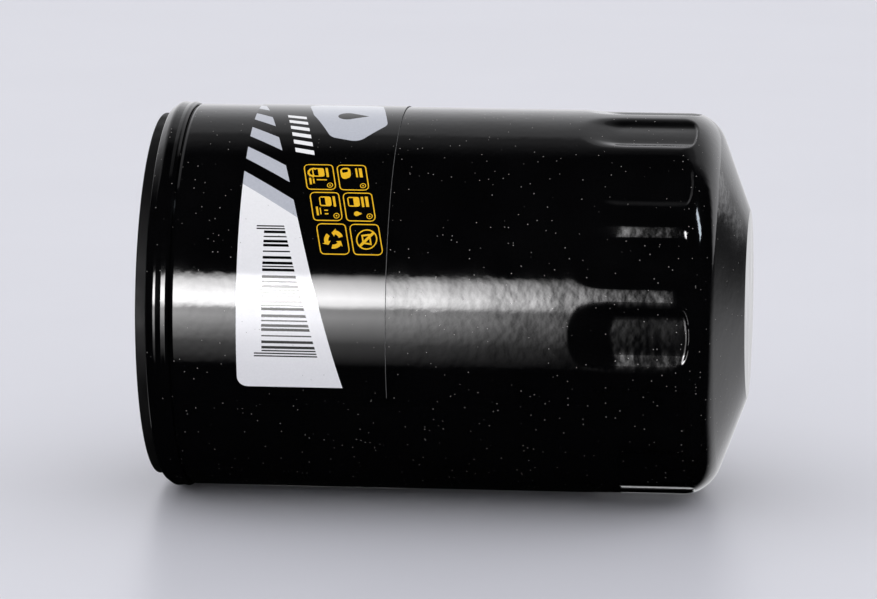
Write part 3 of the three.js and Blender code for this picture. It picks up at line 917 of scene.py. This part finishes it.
class Cell:
    """A frame on the label: u runs along the can from 0 to 1, and v down the label from 0 to 1."""

    def __init__(self, column, row):
        self.x = 38.1 + 7.8 * column + 2.15 * row
        self.top = 52.95 - 10.25 * row

    def at(self, u, v):
        angle = self.top - v * FRAME_HEIGHT
        return (self.x + u * FRAME_WIDTH + v * FRAME_HEIGHT * ARC * FRAME_SLANT, angle)

    def shape(self, colour, points, fillet=0.0):
        placed = [self.at(u, v) for u, v in points]
        return (colour, soft(placed, fillet, 3) if fillet else placed)

    def disc(self, colour, u, v, radius, sides=16):
        """A round spot whose radius is in mm."""
        x, angle = self.at(u, v)
        turns = [2 * math.pi * k / sides for k in range(sides)]
        return (colour, [(x + radius * math.cos(t), angle + radius * math.sin(t) / ARC) for t in turns])

    def bar(self, u0, u1, v0, v1, colour=GOLD, fillet=0.0):
        return self.shape(colour, [(u0, v0), (u1, v0), (u1, v1), (u0, v1)], fillet)

    def outline(self):
        inset = GOLD_LINE / FRAME_WIDTH
        inset_v = GOLD_LINE / ARC / FRAME_HEIGHT
        inside = self.bar(inset, 1 - inset, inset_v, 1 - inset_v, BLACK, 0.8)
        return [self.bar(0, 1, 0, 1, fillet=1.1), inside]

    def badge(self):
        """A small ring in the frame's corner, with a plain dot."""
        return [
            self.disc(GOLD, 0.80, 0.82, 0.72),
            self.disc(BLACK, 0.80, 0.82, 0.53),
            self.disc(GOLD, 0.80, 0.82, 0.2, 8),
        ]

    def canister(self, u, v):
        """A little upright canister, drawn lying as everything on the label does."""
        return [
            self.bar(u, u + 0.40, v, v + 0.34, fillet=0.5),
            self.bar(u + 0.04, u + 0.2, v + 0.04, v + 0.3, BLACK),
            self.bar(u + 0.46, u + 0.54, v - 0.01, v + 0.35),
        ]

    def drop(self, u, v, radius):
        """An oil drop with its tip towards the dome end."""
        x, angle = self.at(u, v)
        points = [(x + 2.1 * radius, angle)]
        for k in range(11):
            turn = math.radians(55 + 25 * k)
            points.append((x + radius * math.cos(turn), angle + radius * math.sin(turn) / ARC))
        return (GOLD, points)

    def arrow(self, centre, radius, start, sweep, width=0.5, head=0.75):
        """A curved arrow round a point: centre (u, v), angles in degrees and sizes in mm."""
        x, angle = self.at(*centre)
        steps = 6
        turns = [math.radians(start + sweep * k / steps) for k in range(steps + 1)]
        outer = [(radius + width / 2, t) for t in turns]
        inner = [(radius - width / 2, t) for t in reversed(turns)]
        tip = turns[-1] + math.radians(math.copysign(28, sweep))
        point = [(radius + head, turns[-1]), (radius, tip), (radius - head, turns[-1])]
        ring = outer + point + inner
        return (GOLD, [(x + r * math.cos(t), angle + r * math.sin(t) / ARC) for r, t in ring])


def icon_art():
    """Six framed pictograms: turn, wipe, tighten, oil, recycle and no bin."""
    art = []
    cells = [Cell(column, row) for row in range(3) for column in range(2)]
    turn, wipe, tighten, oil, recycle, no_bin = cells
    for cell in cells:
        art += cell.outline()
    for cell in cells[:4]:
        art += cell.badge()
    art += turn.canister(0.27, 0.16)
    art.append(turn.arrow((0.30, 0.33), 1.15, 60, 210))
    art += [turn.bar(0.13, 0.20, 0.55, 0.8), turn.bar(0.25, 0.30, 0.58, 0.76)]
    art.append(turn.bar(0.38, 0.72, 0.60, 0.64))
    art += [wipe.shape(GOLD, [(0.10, 0.14), (0.46, 0.12), (0.44, 0.5), (0.12, 0.62)], 0.9)]
    art += [wipe.shape(BLACK, [(0.17, 0.20), (0.38, 0.18), (0.36, 0.30), (0.17, 0.34)], 0.3)]
    art += [wipe.bar(0.62, 0.68, 0.14, 0.5), wipe.bar(0.74, 0.84, 0.14, 0.5)]
    art += tighten.canister(0.30, 0.16)
    art += [tighten.bar(0.15, 0.22, 0.52, 0.82), tighten.bar(0.27, 0.31, 0.56, 0.78)]
    art += [tighten.bar(0.42, 0.54, 0.62, 0.66), tighten.bar(0.42, 0.54, 0.74, 0.78)]
    art += oil.canister(0.14, 0.16)
    art += [oil.bar(0.74, 0.84, 0.14, 0.5), oil.drop(0.38, 0.74, 0.62)]
    for k in range(3):
        art.append(recycle.arrow((0.52, 0.52), 1.75, 120 * k + 20, 62, width=1.0, head=1.05))
    ring = (0.52, 0.5)
    art += [no_bin.disc(GOLD, *ring, 2.5, 28), no_bin.disc(BLACK, *ring, 2.2, 28)]
    art.append(no_bin.shape(GOLD, [(0.36, 0.36), (0.66, 0.32), (0.66, 0.68), (0.36, 0.64)]))
    art.append(no_bin.shape(BLACK, [(0.41, 0.41), (0.61, 0.38), (0.61, 0.62), (0.41, 0.59)]))
    art.append(no_bin.shape(GOLD, [(0.24, 0.68), (0.28, 0.75), (0.80, 0.32), (0.76, 0.25)]))
    return art


def block_art(shift):
    """A big grey shield with an oil drop cut out of it, and slanted dashes beside it."""
    shield = [(35.6, 94), (53.6, 94), (56.6, 73), (50.5, 63.2), (43.6, 65.5), (38.2, 80)]
    art = [(GREY, soft([(x, angle + shift) for x, angle in shield], 3.0))]
    drop = [(51.6, 79.5)]
    radius = 2.3
    for k in range(15):
        turn = math.radians(52 + 18.2 * k)
        drop.append((46.4 + radius * math.cos(turn), 79.5 + radius * math.sin(turn) / ARC))
    art.append((BLACK, [(x, angle + shift) for x, angle in drop]))
    for k in range(6):
        angle = 79.5 - 3.9 * k + shift
        left = 32.0 + 0.72 * k
        top = [(left, angle), (left + 4.6, angle - 1.3)]
        bottom = [(left + 4.9, angle - 3.2), (left + 0.3, angle - 1.9)]
        art.append((WHITE, top + bottom))
    return art


def block(colour, left, right, top, bottom):
    return (colour, [(left, top), (right, top), (right, bottom), (left, bottom)])


def back_art():
    """What the front doesn't show: plain blocks and lines that carry the design round."""
    art = [(GREY, [(53.0, 114), (FILM.end, 112), (FILM.end, 98), (54.5, 100)])]
    art += block_art(96)
    for k in range(9):
        top = 226 - 3.4 * k
        art.append(block(WHITE, 31, 54 - 3.0 * (k % 3), top, top - 0.9))
    for top in (232, 192):
        art.append(block(GOLD, 28.6, FILM.end, top, top - 1.2))
    art.append(block(EDGE, FILM.end - FILM_EDGE, FILM.end, FILM_FROM + FILM_WRAP, FILM_FROM))
    return art


def on_film(corners):
    """Whether a triangle lies on the film. Print that runs past the film's edge is cut off there."""
    x = sum(p.x for p in corners) / 3
    angle = sum(p.y for p in corners) / 3 / ARC
    return FILM.start < x < FILM.end and FILM_FROM < angle < FILM_FROM + FILM_WRAP


def label_mesh(art):
    """The film as one closed shell, whose outer face is divided along the edges of the print."""
    last = FILM_FROM + FILM_WRAP
    points, edges, shapes = [], [], []
    for angle in np.arange(FILM_FROM, last + FILM_STEP / 2, FILM_STEP):
        first = len(points)
        points += [Vector((FILM.start, angle * ARC)), Vector((FILM.end, angle * ARC))]
        edges.append((first, first + 1))
    edges += [(0, len(points) - 2), (1, len(points) - 1)]
    for _, polygon in art:
        corners = [Vector((x, angle * ARC)) for x, angle in polygon]
        if sum(a.cross(b) for a, b in zip(corners, corners[1:] + corners[:1])) < 0:
            corners.reverse()
        shapes.append(list(range(len(points), len(points) + len(corners))))
        points += corners
    flat, _, triangles, _, _, sources = delaunay_2d_cdt(points, edges, shapes, 0, 1e-4, True)
    colours = [art[max(source)][0] if source else BLACK for source in sources]
    kept = [k for k, tri in enumerate(triangles) if on_film([flat[i] for i in tri])]
    triangles, colours = [triangles[k] for k in kept], [colours[k] for k in kept]
    used = sorted({i for tri in triangles for i in tri})
    place = {i: n for n, i in enumerate(used)}
    flat = [flat[i] for i in used]
    triangles = [[place[i] for i in tri] for tri in triangles]
    count = len(flat)
    turn = [p.y / ARC for p in flat]
    solid = [spun(p.x, FILM.outer, t) for p, t in zip(flat, turn)]
    solid += [spun(p.x, FILM.inner, t) for p, t in zip(flat, turn)]
    area = [(flat[b] - flat[a]).cross(flat[c] - flat[a]) for a, b, c in triangles]
    outer = [tri if size > 0 else tri[::-1] for tri, size in zip(triangles, area)]
    sides = {(tri[k], tri[(k + 1) % 3]) for tri in outer for k in range(3)}
    rim = [side for side in sides if side[::-1] not in sides]
    faces = [list(tri) for tri in outer]
    faces += [[count + i for i in reversed(tri)] for tri in outer]
    faces += [[b, a, count + a, count + b] for a, b in sorted(rim)]
    mesh = bpy.data.meshes.new("label_film")
    mesh.from_pydata((np.array(solid) * MM).tolist(), [], faces)
    inks = colours + [BLACK] * len(outer) + [EDGE] * len(rim)
    mesh.polygons.foreach_set("material_index", inks)
    return mesh, len(outer)


def round_normals(mesh, outer_count):
    """Shades the film's two faces as a true cylinder, whatever its triangles."""
    mesh.polygons.foreach_set("use_smooth", [True] * len(mesh.polygons))
    normals = []
    for polygon in mesh.polygons:
        for corner in polygon.vertices:
            if polygon.index >= 2 * outer_count:
                normals.append(tuple(polygon.normal))
                continue
            co = mesh.vertices[corner].co
            out = Vector((0, co.y, co.z)).normalized()
            normals.append(tuple(out if polygon.index < outer_count else -out))
    mesh.normals_split_custom_set(normals)


# ---------------------------------------------------------------- pieces


def build_housing():
    paint = enamel()
    nitrile = rubber("nitrile", (0.0015, 0.0015, 0.0018), (0.004, 0.004, 0.0045), 0.58)
    put("canister", new_mesh("canister", can_shape()), [paint], "housing", sharp=50)
    put("gasket_retainer", new_mesh("retainer", retainer_shape()), [paint], "housing")
    put("sealing_gasket", new_mesh("gasket", gasket_shape()), [nitrile], "housing")
    compound = rubber("sealing_compound", (0.035, 0.045, 0.05), (0.06, 0.07, 0.075), 0.6)
    bead = new_mesh("sealant", lathe(rounded_ring("seam_sealant", 0.15)))
    put("seam_sealant", bead, [compound], "housing")
    plate = new_mesh("plate", plate_shape())
    put("base_plate", plate, [machined_steel()], "housing", sharp=28)
    inks = [
        print_ink("film_black", (0.0010, 0.0010, 0.0012), (0.0020, 0.0020, 0.0022), 0.06),
        print_ink("film_white", (0.92, 0.92, 0.94), (0.95, 0.95, 0.97)),
        print_ink("film_grey", (0.50, 0.52, 0.58), (0.54, 0.56, 0.62)),
        print_ink("film_gold", (0.90, 0.50, 0.020), (0.98, 0.58, 0.03)),
        print_ink("film_edge", (0.05, 0.05, 0.052), (0.08, 0.08, 0.083), 0.7),
    ]
    art = panel_art() + barcode_art() + block_art(0) + back_art() + icon_art()
    mesh, outer_count = label_mesh(art)
    round_normals(mesh, outer_count)
    put("label_film", mesh, inks, "housing", sharp=0)


def build_drainback_valve():
    silicone = rubber("silicone", (0.55, 0.115, 0.02), (0.64, 0.16, 0.035), 0.45, grain=0.4)
    piece = put("drainback_valve", new_mesh("drainback", drainback_shape()), [silicone])
    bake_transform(piece)


def build_element():
    zinc = plated_sheet()
    strip_steel = rolled_steel()
    adhesive = plastisol()
    lower_disc = size_of("lower_end_cap").end - CAP_SKIRT
    neck = NECK_BORE + CAP_SHEET / 2
    lower_edge = [(0, 31.0, 0.8), (-0.01, 24.0, 0.8), (0, neck, 0.8), (-2.6, neck, 0)]
    lower = cap_shape("lower_end_cap", lower_disc, 1, lower_edge)
    put("lower_end_cap", new_mesh("lower_cap", lower), [zinc], "element")
    cap = size_of("upper_end_cap")
    upper = cap_shape("upper_end_cap", cap.end - CAP_SHEET / 2, -1, [(0, cap.inner, 0)])
    put("upper_end_cap", new_mesh("upper_cap", upper), [zinc], "element")
    for node in ("lower_potting", "upper_potting"):
        mesh = new_mesh(node, lathe(rounded_ring(node, 0.4)))
        put(node, mesh, [adhesive], "element")
    outer, inner = pleat_loops()
    media = new_mesh("media", extruded(outer, inner, MEDIA.start, MEDIA.end))
    put("media_pack", media, [resin_paper()], "element")
    put("media_seam_clip", new_mesh("clip", clip_shape()), [strip_steel], "element")
    put("center_tube", new_mesh("tube", tube_shape()), [strip_steel], "element", sharp=28)
    put("bypass_valve_cage", new_mesh("cage", cage_shape()), [zinc], "element", sharp=28)


def build_bypass_poppet():
    steel = rolled_steel()
    nitrile = rubber("valve_nitrile", (0.012, 0.012, 0.013), (0.02, 0.02, 0.021), 0.6)
    disc = new_mesh("disc", lathe(rounded_ring("bypass_valve_disc", 0.2), SMALL))
    put("bypass_valve_disc", disc, [steel], "bypass_poppet")
    seal = new_mesh("seal", lathe(rounded_ring("bypass_valve_seal", 0.3), SMALL))
    put("bypass_valve_seal", seal, [nitrile], "bypass_poppet")
    put("bypass_valve_rivet", new_mesh("rivet", rivet_shape()), [steel], "bypass_poppet")


def build_springs():
    """Both coils, each between the faces that it stands on, with a mesh of its own."""
    wire = spring_wire()
    element = size_of("element_spring")
    shape = coil(2.2, element.start, element.end, 24, 15, 3.5)
    piece = put("element_spring", new_mesh("element_coil", shape), [wire], "housing")
    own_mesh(piece)
    bypass = size_of("bypass_valve_spring")
    shape = coil(1.2, bypass.start, bypass.end, 7, 7, 4)
    piece = put("bypass_valve_spring", new_mesh("bypass_coil", shape), [wire], "element")
    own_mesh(piece)


# ---------------------------------------------------------------- stage, light and camera

FLOOR_Z = -LID.outer * MM
SWEEP_HALF, SWEEP_FLAT, SWEEP_BEND = 3.0, 1.2, 0.8


def build_floor():
    """A pale glossy sweep: flat under the filter, curving up far behind it."""
    look = Look("sweep", IOR=1.4, Roughness=0.38)
    patches = look.noise(90.0, detail=3.0)
    grain = look.noise(1.5, detail=3.0)
    colour = look.mix(patches, (0.675, 0.679, 0.735), (0.715, 0.719, 0.775))
    look.finish(Base_Color=colour, Normal=look.bump(grain, 0.01))
    profile = [(-SWEEP_HALF, 0.0), (SWEEP_FLAT, 0.0)]
    for k in range(1, 17):
        turn = math.radians(90 * k / 16)
        profile.append((SWEEP_FLAT + SWEEP_BEND * math.sin(turn), SWEEP_BEND * (1 - math.cos(turn))))
    points = [(side * SWEEP_HALF, y, FLOOR_Z + z) for y, z in profile for side in (-1, 1)]
    faces = [[2 * i, 2 * i + 1, 2 * i + 3, 2 * i + 2] for i in range(len(profile) - 1)]
    mesh = bpy.data.meshes.new("sweep")
    mesh.from_pydata(points, [], faces)
    mesh.polygons.foreach_set("use_smooth", [True] * len(faces))
    mesh.materials.append(look.material)
    floor = bpy.data.objects.new("sweep", mesh)
    bpy.context.scene.collection.objects.link(floor)
    floor.visible_glossy = False
    return floor


def only_in_reflections(obj):
    obj.visible_camera = False
    obj.visible_diffuse = False
    obj.visible_shadow = False


def quad_object(name, corners, material):
    mesh = bpy.data.meshes.new(name)
    mesh.from_pydata(corners, [], [[0, 1, 2, 3]])
    mesh.materials.append(material)
    obj = bpy.data.objects.new(name, mesh)
    bpy.context.scene.collection.objects.link(obj)
    only_in_reflections(obj)
    return obj


def build_shadow_card():
    """A black card that only shows in reflections: the dark of the floor close to the filter.

    It lies just under the floor, so the floor itself doesn't reflect it.
    """
    left, right = -0.03, 0.112
    front, back = -0.06, 0.12
    z = FLOOR_Z - 0.0005
    look = Look("shadow_card", Roughness=1.0)
    look.finish(Base_Color=look.mix(look.noise(20.0), (0.0, 0.0, 0.0), (0.004, 0.004, 0.004)))
    look.shader.inputs["Specular IOR Level"].default_value = 0.0
    corners = [(left, front, z), (right, front, z), (right, back, z), (left, back, z)]
    card = quad_object("shadow_card", corners, look.material)


WINDOW_SPAN = (-0.96, 0.70)
WINDOW_LEVELS = (
    (-0.96, 0.0), (-0.50, 0.04), (-0.24, 0.15), (-0.05, 0.25), (0.08, 0.22),
    (0.16, 0.85), (0.26, 1.0), (0.42, 0.70), (0.56, 0.48), (0.70, 0.0),
)  # height above the filter's axis and brightness


def panel(name, corners, strength, colour, unlit, shaping=None):
    """A soft light panel that only shows in reflections, and not in those of what is unlit."""
    look = Look(name)
    look.tree.nodes.remove(look.shader)
    glow = look.tree.nodes.new("ShaderNodeEmission")
    glow.inputs["Color"].default_value = (*colour, 1.0)
    glow.inputs["Strength"].default_value = strength
    if shaping:
        look.tree.links.new(look.times(shaping(look), strength), glow.inputs["Strength"])
    output = look.tree.nodes["Material Output"]
    look.tree.links.new(glow.outputs[0], output.inputs["Surface"])
    light = quad_object(name, corners, look.material)
    light.light_linking.receiver_collection = unlit


def window_shape(look):
    """Brightest just above the sill, dim below it, and fading out to the right."""
    x, _, z = look.parts(look.place)
    across = look.times(look.ramp(x, -0.12, 0.035, 1.0, 0.0), look.ramp(x, -0.26, -0.08, 1.5, 1.0))
    bottom, top = WINDOW_SPAN
    height = look.ramp(z, bottom, top, easing="LINEAR")
    profile = look.add("ValToRGB", {"Fac": height})
    stops = profile.node.color_ramp.elements
    for z_stop, level in WINDOW_LEVELS:
        place = (z_stop - bottom) / (top - bottom)
        stop = stops.new(place) if 0 < place < 1 else stops[0 if place == 0 else -1]
        stop.color = (level, level, level, 1.0)
    return look.times(across, profile)


def build_lights(floor):
    """A window to the front and a strip at the right. The floor doesn't reflect either of them."""
    unlit = bpy.data.collections.new("unlit_by_panels")
    unlit.objects.link(floor)
    unlit.collection_objects[0].light_linking.link_state = "EXCLUDE"
    front, left, right = -1.6, -1.15, 0.06
    bottom, top = WINDOW_SPAN
    corners = [(left, front, bottom), (right, front, bottom), (right, front, top), (left, front, top)]
    panel("window_light", corners, 21.5, (1.0, 0.99, 1.0), unlit, window_shape)
    x, near, far, low, high = 1.2, -0.21, -0.09, 0.60, 1.10
    strip_corners = [(x, near, low), (x, far, low), (x, far, high), (x, near, high)]
    panel("side_light", strip_corners, 14.0, (0.80, 0.90, 1.0), unlit)


def build_world():
    """Soft light from all round. Reflections see a bright wall behind and a dark room in front."""
    world = bpy.data.worlds.new("studio")
    bpy.context.scene.world = world
    world.use_nodes = True
    tree = world.node_tree
    tree.nodes.clear()

    nodes = Nodes(tree)
    step, times, plus = nodes.ramp, nodes.times, nodes.plus
    x, y, z = nodes.parts(nodes.add("TexCoord", {}, "Generated"))
    wall = times(step(y, -0.03, 0.03), times(step(z, -0.01, 0.01), step(x, -0.88, -0.55)))
    to_the_right = plus(y, times(x, -0.6))
    dimming = step(z, 0.20, 0.82, 1.15, 0.42)
    wall = times(wall, times(dimming, step(to_the_right, -0.05, 0.15)))
    wall = times(wall, times(step(z, 0.78, 0.84, 1.0, 0.42), step(z, 0.85, 0.97, 1.0, 0.0)))
    below = step(z, -0.01, 0.01, 1.0, 0.0)
    low_wall = times(times(step(y, 0.3, 0.6, 0.0, 0.62), below), step(z, -0.60, -0.40))
    gap = times(step(x, 0.3, 0.6, 0.0, 0.9), step(z, -0.24, -0.03))
    low_wall = times(low_wall, plus(1.0, times(gap, -1.0)))
    behind = times(step(x, -0.02, 0.08, 0.35, 0.16), times(step(y, 0.85, 0.97), below))
    seen_in_gloss = plus(wall, plus(low_wall, behind))
    gloss = nodes.add("Background", {"Color": (1.0, 1.0, 1.03, 1.0), "Strength": seen_in_gloss})
    diffuse = nodes.add("Background", {"Color": (1.0, 1.0, 1.02, 1.0), "Strength": 1.0})
    backdrop = nodes.add("Background", {"Color": (0.83, 0.835, 0.885, 1.0), "Strength": 1.0})
    path = tree.nodes.new("ShaderNodeLightPath")
    mixed = nodes.add("MixShader", {0: path.outputs["Is Glossy Ray"], 1: diffuse, 2: gloss})
    mixed = nodes.add("MixShader", {0: path.outputs["Is Camera Ray"], 1: mixed, 2: backdrop})
    output = tree.nodes.new("ShaderNodeOutputWorld")
    tree.links.new(mixed, output.inputs["Surface"])


def build_camera():
    """A long lens, a little above the filter and a little to its right."""
    target = Vector((0.06727, 0.0, -0.000362))
    azimuth, elevation, distance = math.radians(5.94), math.radians(10.854), 1.3
    flat = math.cos(elevation)
    back = Vector((math.sin(azimuth) * flat, -math.cos(azimuth) * flat, math.sin(elevation)))
    data = bpy.data.cameras.new("camera")
    data.lens = 221.06
    data.sensor_width = 36.0
    data.sensor_fit = "HORIZONTAL"
    data.clip_start, data.clip_end = 0.05, 30.0
    camera = bpy.data.objects.new("camera", data)
    camera.location = target + back * distance
    camera.rotation_mode = "QUATERNION"
    camera.rotation_quaternion = (-back).to_track_quat("-Z", "Y")
    bpy.context.scene.collection.objects.link(camera)
    bpy.context.scene.camera = camera


build_camera()
build_world()
build_lights(build_floor())
build_shadow_card()
build_housing()
build_drainback_valve()
build_element()
build_bypass_poppet()
build_springs()
bpy.context.scene.view_settings.view_transform = "Standard"

bpy.context.view_layer.update()
